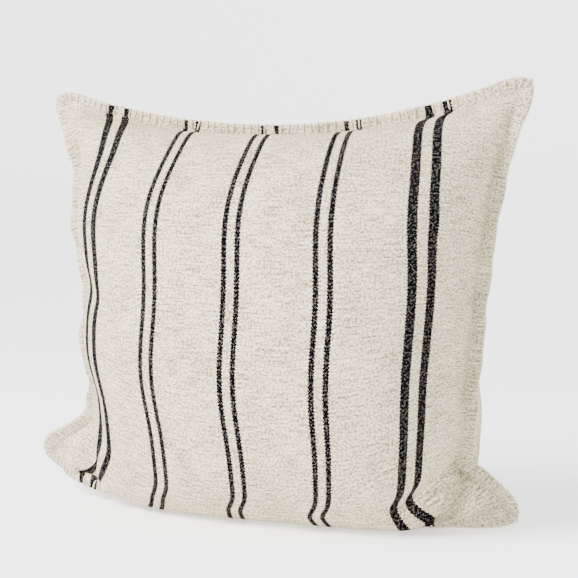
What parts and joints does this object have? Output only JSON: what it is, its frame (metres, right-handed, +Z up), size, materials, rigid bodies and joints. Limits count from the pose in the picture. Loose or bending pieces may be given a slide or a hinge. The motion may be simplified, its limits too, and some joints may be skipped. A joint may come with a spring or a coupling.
{
  "type": "throw pillow",
  "caption": "Square striped throw pillow with a blanket-stitched flange, standing on its lower edge, with a zip across the back and a removable filled insert.",
  "frame": {"origin": "middle of the whole pillow's footprint, on the surface it stands on", "axes": "+Z up, the striped front faces -Y, +X to its right"},
  "size_m": [0.4926, 0.21, 0.3949],
  "materials": {
    "cover_cloth": "coarse plain-weave cotton, matt, with black woven stripes",
    "casing_cloth": "fine plain cotton, matt",
    "fill": "fibre filling, matt",
    "zip_tape": "woven polyester tape",
    "zip_coil": "satin nylon coil",
    "zip_metal": "aged, satin",
    "sewing_thread": "spun thread",
    "edge_yarn": "soft cotton yarn",
    "label": "blank satin ribbon"
  },
  "bodies": {
    "cover": {"front_panel": "cover_cloth", "back_panel_upper": "cover_cloth", "back_panel_lower": "cover_cloth", "insert_casing_front": "casing_cloth", "insert_casing_back": "casing_cloth", "insert_fill": "fill", "zip_tape_upper": "zip_tape", "zip_tape_lower": "zip_tape", "zip_coil_upper": "zip_coil", "zip_coil_lower": "zip_coil", "zip_top_stops": "zip_metal", "zip_bottom_stop": "zip_metal", "zip_stitches_upper": "sewing_thread", "zip_stitches_lower": "sewing_thread", "edge_stitches_top": "edge_yarn", "edge_stitches_bottom": "edge_yarn", "edge_stitches_left": "edge_yarn", "edge_stitches_right": "edge_yarn", "care_label": "label"},
    "slider": {"zip_slider": "zip_metal"},
    "pull": {"zip_pull": "zip_metal"}
  },
  "joints": [
    {"name": "zip_slide", "type": "hinge", "parent": "cover", "child": "slider", "pos_m": [0.01398, -0.55004, 0.0664], "axis": [0, 0, 1], "range_deg": [0, 19]},
    {"name": "pull_flip", "type": "hinge", "parent": "slider", "child": "pull", "pos_m": [0.12417, 0.09486, 0.0664], "axis": [0, 0, -1], "range_deg": [0, 178]}
  ]
}
